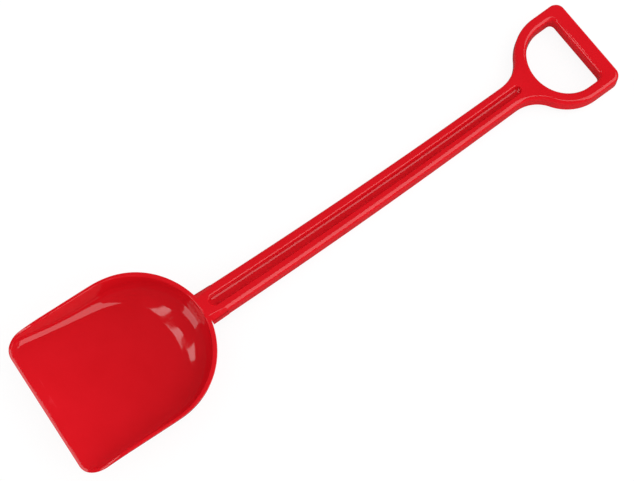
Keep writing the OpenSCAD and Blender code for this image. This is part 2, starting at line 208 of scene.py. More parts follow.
print(len(STATIONS), "stations round half of the scoop")

# %% [markdown]
# ## The flat middle of the floor
# The part leaves its mould because the walls lean out by ten degrees. The flat middle of the
# floor ends where the rounding of that leaning wall begins, with a short lead between them.

# %% Edge of the floor
DRAFT = math.radians(10)
TURN = math.pi / 2 - DRAFT
FLOOR_LEAD, FLOOR_FRONT = 3.0, 10.0


def foot_in(h):
    """How far a wall of height h leans in on its way down."""
    return max(h, 0) * math.tan(DRAFT)


def edge_in(y):
    """How far the edge of the flat middle lies in from the rim's outside."""
    rounding = foot_r(y) * sweep(y) * math.tan(TURN / 2)
    return RIM_W + foot_in(rim_z(y) - floor_z(y)) + rounding + FLOOR_LEAD


BACK_EDGE_IN = edge_in(SCOOP_LEN)


def floor_edge(station):
    y = max(plan(station, 0, 0, 0)[1], CORNER_LEN)
    return plan(station, FLOOR_FRONT, edge_in(min(y, WIDEST_AT)), BACK_EDGE_IN)


def on_floor(xy, drop):
    return np.array([xy[0], xy[1], floor_z(xy[1]) - drop])


def floor_row(station, drop):
    """Points across the floor, from its middle to its edge."""
    x, y = floor_edge(station)
    n = ZONE_STEPS[FRONT]
    return np.array([on_floor((x * i / n, y), drop) for i in range(n + 1)])


print("flat middle ends %.1f mm in from the back" % BACK_EDGE_IN)

# %% [markdown]
# ## The two sides of the wall
# Each side of the wall runs from the edge of the floor, through its rounding, up to the rim. The
# two are the same line with other insets. It is drawn with more points than are kept, so that it
# can be made to stop a set length short of the rim, where the rim's own edge takes over.

# %% One side of the wall
WALL, RIM_EDGE = 3.0, 0.6
FOOT_SHARE, FOOT_FULL = 0.9, 1.0
WALL_STEPS, FOOT_STEPS, LEAD_STEPS = 8, 34, 3
FINE = 8  # points drawn for each point kept


def wall_side(station, inset, drop):
    """Points of one side of the wall, from the edge of the floor up to the rim."""
    x, y_top = plan(station, inset, inset, inset)
    top = np.array([x, y_top, rim_z(y_top)])
    h = top[2] - floor_z(y_top) + drop
    corner_in = min(inset, RIM_W) + foot_in(h)
    corner = on_floor(plan(station, corner_in, corner_in, corner_in), drop)
    edge = on_floor(floor_edge(station), drop)
    up, along = np.linalg.norm(corner - top), np.linalg.norm(edge - corner)

    y = plan(station, 0, 0, 0)[1]
    stretch = sweep(y) if drop == 0 else 1
    tangent = foot_r(y) * math.tan(TURN / 2) + drop * math.tan(TURN / 2)
    tangent_low = min(tangent, tangent * max(h, 0) / max(up, RIM_EDGE))
    on_wall = mix(corner, top, min(FOOT_SHARE, tangent / up) if up > 0 else 0)
    share = min(FOOT_SHARE, stretch * tangent_low / along)
    flat = on_floor(mix(corner, edge, share)[:2], drop)

    n = LEAD_STEPS * FINE
    lead = [on_floor(mix(edge[:2], flat[:2], i / n), drop) for i in range(n)]
    fullness = mix(math.cos(TURN / 2), FOOT_FULL, (stretch - 1) / SWEEP)
    foot = conic(flat, corner, on_wall, fullness, FOOT_STEPS * FINE)
    n = WALL_STEPS * FINE
    wall = [mix(on_wall, top, i / n) for i in range(1, n + 1)]
    return np.array([*lead, *foot, *wall])


def stop_short(side, cut):
    """Keeps one point in FINE, moved so that the last one stops short of the end by cut."""
    s = np.concatenate([[0], np.cumsum(np.linalg.norm(np.diff(side, axis=0), axis=1))])
    at = s[::FINE] * (1 - cut / s[-1])
    return np.stack([np.interp(at, s, side[:, i]) for i in range(3)], -1)


print(len(stop_short(wall_side(STATIONS[-1], RIM_W, 0), RIM_EDGE)), "points up the back wall")

# %% [markdown]
# ## The wall at the back
# The glints on the back wall show two small things. The rim's inner edge is softer there and lies
# farther in, and the wall swells a little where the shaft grows out of it. A bell curve that
# fades in below the rim makes the swelling without touching the rim itself.

# %% Soft rim and swelling at the back
BACK_RIM, BACK_RIM_LEN = 1.2, 45.0
SWELL, SWELL_HALF, SWELL_AT, SWELL_DROP = 1.2, 9.0, 8.5, 4.0


def back_gain(y):
    return ease((y - WIDEST_AT) / BACK_RIM_LEN)


def swell(side):
    """Adds the soft swelling that the wall has where the shaft grows out of it."""
    out = side.copy()
    for p in out:
        below = rim_z(p[1]) - p[2]
        if p[1] > WIDEST_AT and below > 0:
            bulge = math.exp(-(p[0] / SWELL_HALF) ** 2 - ((below - SWELL_AT) / SWELL_DROP) ** 2)
            p[1] -= SWELL * bulge * ease(below / SWELL_AT)
    return out


print("rim's inner edge at the back: %.1f mm in" % (RIM_W + BACK_RIM * back_gain(SCOOP_LEN)))

# %% [markdown]
# ## The scoop's section
# A section runs up the inside, over the narrow rounded rim and down the outside, as one line of
# points. Sections with the same number of points can be joined like the ribs of a boat.

# %% Section of the scoop
EDGE_STEPS = 4


def scoop_section(station):
    """Up the inside, over the rim and down the outside."""
    gain = back_gain(plan(station, 0, 0, 0)[1])
    inside = wall_side(station, RIM_W + BACK_RIM * gain, 0)
    outside = wall_side(station, 0, WALL)
    a, b = inside[-1], outside[-1]
    across = (b - a) / np.linalg.norm(b - a) * RIM_EDGE
    soft = 1 + gain
    inside = swell(stop_short(inside, RIM_EDGE * soft))
    outside = stop_short(outside, RIM_EDGE)
    inner_edge = conic(inside[-1], a, a + across * soft, QUARTER, EDGE_STEPS)
    outer_edge = conic(b - across, b, outside[-1], QUARTER, EDGE_STEPS)
    return np.concatenate([inside[:-1], inner_edge, outer_edge, outside[-2::-1]])


print(len(scoop_section(STATIONS[0])), "points in each section")

# %% [markdown]
# ## One half, then its mirror image
# The mould is the same on both sides, so every piece is made as its right half. A mirror modifier
# would do, but the halves have to be one closed mesh before their normals are worked out, so the
# helper mirrors the points itself and joins them on the middle line.

# %% Gather the faces of a half
class Half:
    """Gathers the faces of a right half, in the shovel's own millimetres."""

    def __init__(self):
        self.points, self.faces = [], []

    def add(self, points, faces, turn):
        """Takes points, and faces that count them from 0."""
        first = sum(len(p) for p in self.points)
        self.points.append(np.asarray(points).reshape(-1, 3))
        for face in faces:
            face = [first + i for i in face]
            self.faces.append(face[::-1] if turn else face)

    def grid(self, rows, closed=False, turn=False):
        """Joins rows that all have the same number of points."""
        n, m = np.shape(rows)[:2]
        pairs = [(j, (j + 1) % m) for j in range(m if closed else m - 1)]
        self.add(rows, [(i * m + j, i * m + k, (i + 1) * m + k, (i + 1) * m + j)
                        for i in range(n - 1) for j, k in pairs], turn)

    def fan(self, loop, turn=False):
        """Fills one closed line of points with a face."""
        self.add(loop, [range(len(loop))], turn)


# %% Mirror a half and make its object
MIDDLE_GAP = 1e-6  # millimetres; a point this near the middle line lies on it
WELD, SPECK = 2e-6, 1e-7  # metres
SHARP, FLAT_PULL = math.radians(30), 80


def both_halves(name, half):
    """Makes the object of a half and its mirror image."""
    p = np.concatenate(half.points)
    p[np.abs(p[:, 0]) < MIDDLE_GAP, 0] = 0
    q = p * [-1, 1, 1]
    mesh = bpy.data.meshes.new(name)
    faces = half.faces + [[i + len(p) for i in f[::-1]] for f in half.faces]
    mesh.from_pydata(to_room(np.concatenate([p, q])).tolist(), [], faces)
    bm = bmesh.new()
    bm.from_mesh(mesh)
    bmesh.ops.remove_doubles(bm, verts=bm.verts, dist=WELD)
    bmesh.ops.dissolve_degenerate(bm, edges=bm.edges, dist=SPECK)
    middle = [f for f in bm.faces if all(abs(v.co.x) < SPECK for v in f.verts)]
    bmesh.ops.delete(bm, geom=middle, context="FACES_ONLY")
    bmesh.ops.triangulate(bm, faces=[f for f in bm.faces if len(f.verts) > 4])
    bmesh.ops.recalc_face_normals(bm, faces=bm.faces)
    open_edges = sum(not e.is_manifold for e in bm.edges)
    bm.to_mesh(mesh)
    bm.free()
    mesh.shade_smooth()
    mesh.set_sharp_from_angle(angle=SHARP)
    obj = bpy.data.objects.new(name, mesh)
    bpy.context.scene.collection.objects.link(obj)
    even = obj.modifiers.new("flat faces decide", "WEIGHTED_NORMAL")
    even.keep_sharp = True
    even.weight = FLAT_PULL
    print(name, len(mesh.vertices), "points,", len(mesh.polygons), "faces,", open_edges, "open edges")
    return obj


# %% [markdown]
# ## The scoop
# The wall's sections make one grid round the half, and two more grids close the floor, inside and
# outside. The scoop is a shell about as thick as its rim is wide, as moulded parts are. Only the
# foot is thicker, where the inside has the wider rounding.

# %% Make the scoop
half = Half()
half.grid([scoop_section(s) for s in STATIONS])
for drop, turn in ((0, False), (WALL, True)):
    half.grid([floor_row(s, drop) for s in STATIONS if s[0] != FRONT], turn=turn)
scoop = both_halves("scoop", half)

# %% [markdown]
# ## The shaft's side view
# The shaft bows away from the hand in a shallow curve between the rim and the neck, and the grip
# rises again in a straight line. The two join in a short blend, a cubic that has the height and
# the slope of both at its ends, so that the light runs on.

# %% Side view of the shaft and the grip
LENGTH, NECK_START = 550.0, 464.013  # the neck starts where its fillets touch the shaft's sides
SHAFT_BOW, GRIP_PITCH = 7.9, math.tan(math.radians(4.7))
SPAN = NECK_START - SCOOP_LEN
PITCH_BLEND = 12.0


def bow(y):
    u = (y - SCOOP_LEN) / SPAN
    return -4 * SHAFT_BOW * u * (1 - u)


def bow_slope(y):
    return -4 * SHAFT_BOW / SPAN * (1 - 2 * (y - SCOOP_LEN) / SPAN)


def face_z(y):
    """Height of the face of the shaft and the grip above the line between the shaft's ends."""
    begin, end = NECK_START - PITCH_BLEND, NECK_START + PITCH_BLEND
    if y < begin:
        return bow(y)
    if y > end:
        return bow(NECK_START) + (y - NECK_START) * GRIP_PITCH
    h = end - begin
    t = (y - begin) / h
    end_z = bow(NECK_START) + PITCH_BLEND * GRIP_PITCH
    return ((2 * t ** 3 - 3 * t ** 2 + 1) * bow(begin) + (t ** 3 - 2 * t ** 2 + t) * h * bow_slope(begin)
            + (3 * t ** 2 - 2 * t ** 3) * end_z + (t ** 3 - t ** 2) * h * GRIP_PITCH)


print("bow at mid shaft %.2f mm" % face_z(SCOOP_LEN + SPAN / 2))
print("grip's far edge %.2f mm" % face_z(LENGTH))

# %% [markdown]
# ## The handle's outline
# From above, the handle tapers gently, flares out through two fillets and closes round the hand as
# a D. A place on the outline is its point and the way out of the plastic there. The first function
# gives the shaft's side and the fillet that follows it.

# %% Outline of the shaft and the neck
SHAFT_W, NECK_R = (26.4, 21.7), 30.0
NECK_X = SHAFT_W[1] / 2 + NECK_R
SIDEWAYS, LENGTHWAYS = np.array([1.0, 0.0]), np.array([0.0, 1.0])


def shaft_half(y):
    return mix(*SHAFT_W, (y - SCOOP_LEN) / SPAN) / 2


def outline_place(y):
    """Point of the outline at y and the way out of the plastic there."""
    if y <= NECK_START:
        return np.array([shaft_half(y), y]), SIDEWAYS
    dy = y - NECK_START
    dx = math.sqrt(NECK_R ** 2 - dy ** 2)
    return np.array([NECK_X - dx, y]), np.array([dx, -dy]) / NECK_R


print("shaft %.1f mm wide at mid length" % (2 * shaft_half(SCOOP_LEN + SPAN / 2)))

# %% [markdown]
# ## The grip's two outlines
# The outside of the grip and its finger opening are alike: half an ellipse for the yoke, two
# straight arms, two round corners and a straight bar. Taking a place on each at the same step
# gives a ring of pairs, and the grip's section can be hung on each pair.

# %% Outlines of the grip
GRIP_W, GRIP_SIDE, YOKE_LEN = 88.0, 27.6, 40.0
BAR_W, ARM_W, YOKE_W = 13.5, 10.1, 10.0
CORNER_R, EYE_R, NECK_ANGLE = 8.4, 5.0, math.radians(34.53)
YOKE_STEPS, ARM_STEPS, CORNER_STEPS, BAR_STEPS = 40, 6, 20, 8
GRIP_HALF, YOKE_Y = GRIP_W / 2, LENGTH - GRIP_SIDE
EYE_HALF, EYE_FAR, EYE_REACH = GRIP_HALF - ARM_W, LENGTH - BAR_W, YOKE_LEN - YOKE_W


def yoke(a, half_w, reach):
    """Place on the yoke's ellipse."""
    p = np.array([half_w * math.sin(a), YOKE_Y - reach * math.cos(a)])
    return p, unit(np.array([reach * math.sin(a), -half_w * math.cos(a)]))


def arm(t, half_w, far, r):
    return np.array([half_w, mix(YOKE_Y, far - r, t)]), SIDEWAYS


def corner_at(b, half_w, far, r):
    way = np.array([math.cos(b), math.sin(b)])
    return np.array([half_w - r, far - r]) + r * way, way


def bar(t, half_w, far, r):
    return np.array([(half_w - r) * t, far]), LENGTHWAYS


OUTSIDE, EYE = (GRIP_HALF, LENGTH, CORNER_R), (EYE_HALF, EYE_FAR, EYE_R)
RING = []
for i in range(YOKE_STEPS + 1):
    a = mix(NECK_ANGLE, math.pi / 2, i / YOKE_STEPS)
    RING.append((yoke(a, GRIP_HALF, YOKE_LEN), yoke(a, EYE_HALF, EYE_REACH)))
for i in range(1, ARM_STEPS):
    RING.append((arm(i / ARM_STEPS, *OUTSIDE), arm(i / ARM_STEPS, *EYE)))
for i in range(CORNER_STEPS + 1):
    b = math.pi / 2 * i / CORNER_STEPS
    RING.append((corner_at(b, *OUTSIDE), corner_at(b, *EYE)))
for i in range(1, BAR_STEPS + 1):
    t = 1 - i / BAR_STEPS
    RING.append((bar(t, *OUTSIDE), bar(t, *EYE)))
print(len(RING), "places round half of the grip")

# %% [markdown]
# ## A lip that runs all round
# The edges of the shaft, the neck and the grip are alike: a rounding at the top, a side that leans
# out a little for the mould, and a wall as thick as the skin whose inner side looks into the
# hollow back. The lip is drawn from the flat face outward, and the two ends of its list meet the
# face and the hollow.

# %% Section of a lip
SHOULDER_R, GRIP_EDGE = 3.6, 3.0
SHAFT_DEPTH, GRIP_DEPTH, SKIN = 13.0, 12.6, 2.6
SIDE_LEAN, SKIRT = math.tan(math.radians(1.5)), 0.024
FLAT_EDGE, SIDE_EDGE = 0.4, 0.6  # strips beside the rounding that keep its neighbours flat
FOOT_EDGE, FOOT_EDGE_FULL = 0.5, 0.7
LIP_STEPS, FOOT_EDGE_STEPS = 8, 3


def lip(point, out, r, depth):
    """Points of a lip: from the face, over the edge, down the side, under it and up inside."""
    lean = depth * SIDE_LEAN
    skirt = lean + depth * SKIRT * abs(out[0])
    flat = (-r - FLAT_EDGE, 0)
    edge = round_off((0, 0), OUTWARD, DOWNWARD, r, QUARTER, LIP_STEPS)
    side = [(skirt * (r + SIDE_EDGE) / depth, -r - SIDE_EDGE), (skirt / 2, -depth / 2)]
    foot, heel = [round_off((d, -depth), come, leave, FOOT_EDGE, FOOT_EDGE_FULL, FOOT_EDGE_STEPS)
                  for d, come, leave in ((skirt, DOWNWARD, INWARD), (lean - SKIN, INWARD, UPWARD))]
    inside = [(lean / 2 - SKIN, -depth / 2), (-SKIN, -SKIN)]
    points = []
    for d, z in [flat, *edge, *side, *foot, *heel, *inside]:
        x, y = point + out * d
        points.append((max(x, 0.0), y, face_z(y) + z))
    return np.array(points)


print(len(lip(*RING[0][0], GRIP_EDGE, GRIP_DEPTH)), "points in a lip")

# %% [markdown]
# ## The root's lip
# Where the shaft leaves the scoop, its root has shoulders that are flat slopes with a crisp crease
# on top, and each catches the light as one clear facet. So the rounding of the lip is swapped for
# a crease, a slope and a brink, with the same number of points.

# %% Section of the root's lip
ROOT_END = 165.0
ROOT_CREASE, ROOT_BRINK, ROOT_SLOPE_DROP = (8.9, 10.7), (13.7, 13.4), 4.4
CREASE_R, CREASE_FULL, CREASE_STEPS, BRINK_STEPS = 0.5, 0.8, 4, 2
SIDE_AND_FOOT = slice(LIP_STEPS + 2, LIP_STEPS + FOOT_EDGE_STEPS + 5)


def root_lip(point, depth):
    """A lip of the root: its shoulder is a flat slope with a crisp crease on top."""
    y, z = point[1], face_z(point[1])
    t = (y - SCOOP_LEN) / (ROOT_END - SCOOP_LEN)
    crease = np.array([mix(*ROOT_CREASE, t) - point[0], 0.0])
    brink = np.array([mix(*ROOT_BRINK, t) - point[0], -ROOT_SLOPE_DROP])
    slope = unit(brink - crease)
    fold = round_off(crease, OUTWARD, slope, CREASE_R, CREASE_FULL, CREASE_STEPS)
    turn = round_off(brink, slope, DOWNWARD, CREASE_R, CREASE_FULL, BRINK_STEPS)
    rows = lip(point, SIDEWAYS, SHOULDER_R, depth)
    rows[0] = (point[0] + crease[0] - CREASE_R - FLAT_EDGE, y, z)
    for row, (d, drop) in zip(rows[1:], [*fold, mix(crease, brink, 0.5), *turn]):
        row[:] = (point[0] + d, y, z + drop)
    rows[SIDE_AND_FOOT, 0] += brink[0]
    return rows


print("root's shoulder slopes over %.1f mm at the rim" % (ROOT_BRINK[0] - ROOT_CREASE[0]))

# %% [markdown]
# ## The groove
# A round-bottomed groove runs down the face, between the rim and the yoke, and ends in a half
# round at each end. A boolean cut would leave ragged edges for the gloss to show. Its section is
# one curve instead, which shrinks to almost nothing at the ends.

# %% Section of the groove
GROOVE_W, GROOVE_DEPTH, GROOVE_LEAN = (10.1, 8.1), 4.5, math.radians(15)
GROOVE_START, GROOVE_END = 156.0, 476.4
GROOVE_EDGE, GROOVE_EDGE_FULL, GROOVE_FOOT = 0.8, 0.75, 2.2
GROOVE_STEPS, GROOVE_EDGE_STEPS = 8, 5


def groove_half(y):
    return mix(*GROOVE_W, (y - SCOOP_LEN) / SPAN) / 2


def groove_section(y, share_width, share_depth):
    """Half of the groove's section as pairs (x, z), from its middle to the face."""
    half_turn = (math.pi / 2 - GROOVE_LEAN) / 2
    up = np.array([math.sin(GROOVE_LEAN), math.cos(GROOVE_LEAN)])
    top = np.array([groove_half(y), 0.0])
    foot_x = top[0] - GROOVE_EDGE / 2 - (GROOVE_DEPTH - GROOVE_EDGE) * math.tan(GROOVE_LEAN)
    reach = GROOVE_FOOT * math.tan(half_turn)
    foot = round_off((foot_x, -GROOVE_DEPTH), OUTWARD, up, reach, math.cos(half_turn), GROOVE_STEPS)
    edge = round_off(top, up, OUTWARD, GROOVE_EDGE, GROOVE_EDGE_FULL, GROOVE_EDGE_STEPS)
    middle, face = (0, -GROOVE_DEPTH), top + [GROOVE_EDGE + FLAT_EDGE, 0]
    section = np.array([middle, *foot, mix(foot[-1], edge[0], 0.5), *edge, face])
    return section * [share_width, share_depth]


def end_round(y):
    """How far the groove is open at y: a half round at both ends."""
    r = groove_half(y)
    t = min((y - GROOVE_START) / r, (GROOVE_END - y) / r, 1)
    return math.sqrt(max(1 - (1 - max(t, 0)) ** 2, 0))


print("groove %.1f mm wide at mid shaft" % (2 * groove_half(SCOOP_LEN + SPAN / 2)))

# %% [markdown]
# ## Sections across the handle
# Each section of the shaft carries the groove in the middle, the lip at the side and, in the
# hollow back, a boss that covers the groove with the same skin. Past the neck the outline turns
# out along its fillet while the groove stays straight.

# %% Section of the shaft
SHAFT_END = GROOVE_END + SKIN
BOSS_DEPTH, BOSS_TAPER = GROOVE_DEPTH + SKIN, 0.3
NARROWEST = 0.2  # share of the groove's width that the sections keep past its ends


def neck_share(y):
    return min(max((y - NECK_START) / (SHAFT_END - NECK_START), 0), 1)


def shaft_section(y):
    """The groove, the lip and the boss of half a section."""
    (point, out), z, opened = outline_place(y), face_z(y), end_round(y)
    edge_r = mix(SHOULDER_R, GRIP_EDGE, neck_share(y))
    depth = mix(SHAFT_DEPTH, GRIP_DEPTH, neck_share(y))
    groove = [(x, y, z + dz) for x, dz in groove_section(y, max(opened, NARROWEST), opened)]
    side = root_lip(point, depth) if y < ROOT_END else lip(point, out, edge_r, depth)
    boss_half = groove_half(y) + SKIN / 2
    boss = [(boss_half, -SKIN), (boss_half - BOSS_TAPER, -BOSS_DEPTH), (0.0, -BOSS_DEPTH)]
    return np.array(groove), side, np.array([(x, y, z + dz) for x, dz in boss])


print("section at mid shaft:", [len(part) for part in shaft_section(SCOOP_LEN + SPAN / 2)], "points")

# %% [markdown]
# ## Where the sections stand
# The half rounds of the groove need sections close together, and the root ends in a small step.
# Between them the shaft bends so little that even steps do.

# %% Stations along the shaft
ROUND_STEPS, SHAFT_STEPS = 10, 120
ROOT_STEP, LAST_GAP = 0.3, 2.0
BEFORE_GROOVE = (SCOOP_LEN - 1.5, SCOOP_LEN, SCOOP_LEN + 2.5)
IN_NECK = (NECK_START, 466.0, 468.5, 470.5)

opening = [1 - math.cos(math.pi / 2 * i / ROUND_STEPS) for i in range(ROUND_STEPS + 1)]
shaft_ys = [
    *BEFORE_GROOVE,
    *[GROOVE_START + groove_half(GROOVE_START) * s for s in opening],
    ROOT_END - LAST_GAP, ROOT_END - ROOT_STEP,
    *np.linspace(ROOT_END + ROOT_STEP, NECK_START - LAST_GAP, SHAFT_STEPS),
    *IN_NECK,
    *[GROOVE_END - groove_half(GROOVE_END) * s for s in opening[::-1]],
    SHAFT_END,
]
print(len(shaft_ys), "sections along the shaft")

# %% [markdown]
# ## Shaft, neck and grip in one mesh
# Making the whole handle one mesh leaves no seam for the light to catch. Lips run on from the last
# section, round the fillet to the yoke, and back along the near side of the finger opening. Each
# pair of places on the grip's ring carries two lips, back to back. The face of the neck is flat,
# so one face can fill it between the lips.

# %% Lips of the neck
FILLET_STEPS, EYE_STEPS = 16, 24


def grip_lip(place, side=1):
    point, out = place
    return lip(point, out * side, GRIP_EDGE, GRIP_DEPTH)


end_groove, end_lip, end_boss = shaft_section(SHAFT_END)
end_x, end_y = RING[0][0][0]
fillet_begin = math.asin((SHAFT_END - NECK_START) / NECK_R)
fillet_end = math.atan2(end_y - NECK_START, NECK_X - end_x)
outer_lips = [end_lip]
for i in range(1, FILLET_STEPS):
    a = mix(fillet_begin, fillet_end, i / FILLET_STEPS)
    out = np.array([math.cos(a), -math.sin(a)])
    outer_lips.append(grip_lip((np.array([NECK_X, NECK_START]) - NECK_R * out, out)))
outer_lips.append(grip_lip(RING[0][0]))
eye_lips = [grip_lip(yoke(NECK_ANGLE * i / EYE_STEPS, EYE_HALF, EYE_REACH), -1)
            for i in range(EYE_STEPS + 1)]
print(len(outer_lips), "lips round the fillet,", len(eye_lips), "along the finger opening")

# %% Make the handle
half = Half()
half.grid([np.concatenate(shaft_section(y)) for y in shaft_ys])
half.grid(outer_lips)
half.grid(eye_lips, turn=True)
half.grid([[*grip_lip(outer), *grip_lip(eye, -1)[::-1]] for outer, eye in RING], closed=True)

# the face of the neck, the roof of its hollow and the end of the boss
border = outer_lips + eye_lips[::-1]
roof_middle = (0.0, SHAFT_END, face_z(SHAFT_END) - SKIN)
half.fan([*end_groove, *[rows[0] for rows in border]])
half.fan([roof_middle, end_boss[0], *[rows[-1] for rows in border]], turn=True)
half.fan([roof_middle, *end_boss])
# the root's end, hidden in the wall of the scoop
half.fan(np.concatenate(shaft_section(shaft_ys[0])), turn=True)
handle = both_halves("handle", half)

# %% [markdown]
# ## Nodes and colours
# Blender's nodes take linear colours, but a hex colour is sRGB, as a paint shop or a web page
# writes it. One function turns it into the other, one adds a node with its values and links, and
# one turns the size of a real pattern into the scale of a noise.

# %% Node helpers
def linear(hex_colour):
    """An sRGB hex colour as the linear numbers that nodes take."""
    out = []
    for i in (1, 3, 5):
        c = int(hex_colour[i:i + 2], 16) / 255
        out.append(c / 12.92 if c <= 0.04045 else ((c + 0.055) / 1.055) ** 2.4)
    return (*out, 1.0)


def node(tree, kind, settings=None, links=None):
    """Adds a node, sets its values and links its sockets."""
    new = tree.nodes.new(kind)
    for key, value in (settings or {}).items():
        if isinstance(key, int) or key in new.inputs:
            new.inputs[key].default_value = value
        else:
            setattr(new, key, value)
    for key, socket in (links or {}).items():
        tree.links.new(socket, new.inputs[key])
    return new


def scale_of(mm):
    """The scale of a noise whose clouds are this many millimetres apart."""
    return 1000 / mm


def empty_material(name):
    mat = bpy.data.materials.new(name)
    mat.use_nodes = True
    mat.node_tree.nodes.clear()
    return mat


print("red of the dye, linear:", [round(c, 3) for c in linear("#d3131e")])

# %% [markdown]
# ## Colour: polypropylene dyed signal red
# The granules are dyed before they are melted, so the red goes right through and no edge shows
# another colour. The melt's flow leaves soft clouds that hardly differ, and handling rubs the
# sharp edges a little paler. Pointiness tells where the mesh has such edges.

# %% Worn edges and colour
WORN_MM, CLOUD_MM = 5, 40
SMOOTH_BEND, SHARP_BEND = 0.54, 0.66


def rubbed_edges(tree, place):
    """How much the sharp edges are rubbed, in broken stretches."""
    bends = node(tree, "ShaderNodeNewGeometry").outputs["Pointiness"]
    edges = node(tree, "ShaderNodeMapRange",
                 {"From Min": SMOOTH_BEND, "From Max": SHARP_BEND}, {"Value": bends})
    broken = node(tree, "ShaderNodeTexNoise", {"Scale": scale_of(WORN_MM), "Detail": 3.0},
                  {"Vector": place})
    worn = node(tree, "ShaderNodeMath", {"operation": "MULTIPLY", "use_clamp": True},
                {0: edges.outputs["Result"], 1: broken.outputs["Fac"]})
    return worn.outputs["Value"]


def dyed_red(tree, place, worn):
    """The dye's red in soft clouds, paler where it is worn."""
    flow = node(tree, "ShaderNodeTexNoise",
                {"Scale": scale_of(CLOUD_MM), "Detail": 3.0, "Roughness": 0.5}, {"Vector": place})
    tone = node(tree, "ShaderNodeValToRGB", None, {"Fac": flow.outputs["Fac"]})
    stops = tone.color_ramp.elements
    stops[0].position, stops[1].position = 0.3, 0.7
    stops[0].color, stops[1].color = linear("#cd101a"), linear("#d3131e")
    colour = node(tree, "ShaderNodeMix", {"data_type": "RGBA", 7: linear("#e0303a")},
                  {0: worn, 6: tone.outputs["Color"]})
    return colour.outputs[2]


print("clouds in the dye %d mm across, worn stretches %d mm long" % (CLOUD_MM, WORN_MM))

# %% [markdown]
# ## Gloss: the skin that a polished mould leaves
# Polypropylene takes the polish of its mould, so it has a clear, narrow gloss. Close up, the skin
# is never perfect: a fine bloom softens the gloss in patches, sand leaves small dull scuffs, and
# the melt leaves a faint waviness. Roughness carries the first two and a bump the last.

# %% Roughness and waviness
BLOOM_MM, SCUFF_MM, SCUFF_STRETCH, WAVE_MM = 9, 1.5, 4, 6
POLISHED, BLOOMED, WORN_ROUGH, SCUFF_ROUGH = 0.03, 0.06, 0.1, 0.12


def skin_roughness(tree, place, worn):
    """Patches of bloom, worn edges, and sparse scuffs that run along the shovel."""
    bloom = node(tree, "ShaderNodeTexNoise",
                 {"Scale": scale_of(BLOOM_MM), "Detail": 4.0, "Roughness": 0.6}, {"Vector": place})
    gloss = node(tree, "ShaderNodeMapRange",
                 {"From Min": 0.3, "From Max": 0.7, "To Min": POLISHED, "To Max": BLOOMED},
                 {"Value": bloom.outputs["Fac"]})
    along = node(tree, "ShaderNodeMapping", {"Scale": (1.0, 1 / SCUFF_STRETCH, 1.0)},
                 {"Vector": place})
    fleck = node(tree, "ShaderNodeTexNoise", {"Scale": scale_of(SCUFF_MM), "Detail": 2.0},
                 {"Vector": along.outputs["Vector"]})
    scuff = node(tree, "ShaderNodeMapRange",
                 {"From Min": 0.68, "From Max": 0.76, "To Max": SCUFF_ROUGH},
                 {"Value": fleck.outputs["Fac"]})
    dull = node(tree, "ShaderNodeMath", {"operation": "MULTIPLY_ADD", 1: WORN_ROUGH},
                {0: worn, 2: gloss.outputs["Result"]})
    rough = node(tree, "ShaderNodeMath", {"operation": "ADD"},
                 {0: dull.outputs["Value"], 1: scuff.outputs["Result"]})
    return rough.outputs["Value"]


def melt_waves(tree, place):
    """The skin's faint waviness, which bends a reflection a little and isn't seen itself."""
    wave = node(tree, "ShaderNodeTexNoise", {"Scale": scale_of(WAVE_MM), "Detail": 1.0},
                {"Vector": place})
    bump = node(tree, "ShaderNodeBump", {"Strength": 0.05, "Distance": 0.0002},
                {"Height": wave.outputs["Fac"]})
    return bump.outputs["Normal"]


print("bloom %s mm, scuffs %s mm, waves %s mm across" % (BLOOM_MM, SCUFF_MM, WAVE_MM))

# %% The red plastic
def moulded_polypropylene(name):
    """Dyed through and opaque, with the typical IOR of polypropylene."""
    mat = empty_material(name)
    tree = mat.node_tree
    place = node(tree, "ShaderNodeTexCoord").outputs["Object"]
    worn = rubbed_edges(tree, place)
    skin = node(tree, "ShaderNodeBsdfPrincipled", {"IOR": 1.49, "Metallic": 0.0},
                {"Base Color": dyed_red(tree, place, worn),
                 "Roughness": skin_roughness(tree, place, worn),
                 "Normal": melt_waves(tree, place)})
    node(tree, "ShaderNodeOutputMaterial", None, {"Surface": skin.outputs["BSDF"]})
    return mat


plastic = moulded_polypropylene("injection_moulded_polypropylene_red")
for obj in (scoop, handle):
    obj.data.materials.append(plastic)
print(plastic.name, "has", len(plastic.node_tree.nodes), "nodes")

# %% [markdown]
# ## Hang the pieces on the frame
# Each new piece stands for the CAD solids that it covers. The ribs keep their CAD solids, because
# flat plates are right as they are, and only take the finish.

# %% Ride, replace and finish
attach(scoop, "root")
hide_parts("scoop_pan", "scoop_rim")
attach(handle, "root")
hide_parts("shaft_root", "shaft", "grip_neck", "grip_arm_left", "grip_arm_right", "grip_bar")
ribs = [bpy.data.objects[name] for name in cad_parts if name.startswith("shaft_rib")]
for rib in ribs:
    for slot in rib.material_slots:
        slot.material = plastic
print(len(ribs), "ribs take the plastic")

# %% [markdown]
# ## The floor
# White paper lies under the shovel. It bounces white light up and shows white to the camera, with
# the shovel's shadow on it. The gloss mirrors a darker room, though, and the light path tells the
# rays apart: glossy rays see the paper in dark grey.

# %% Paper
FLOOR_SIZE, CAMERA_GLOW = 8, 0.88
WHITE = (1, 1, 1, 1)


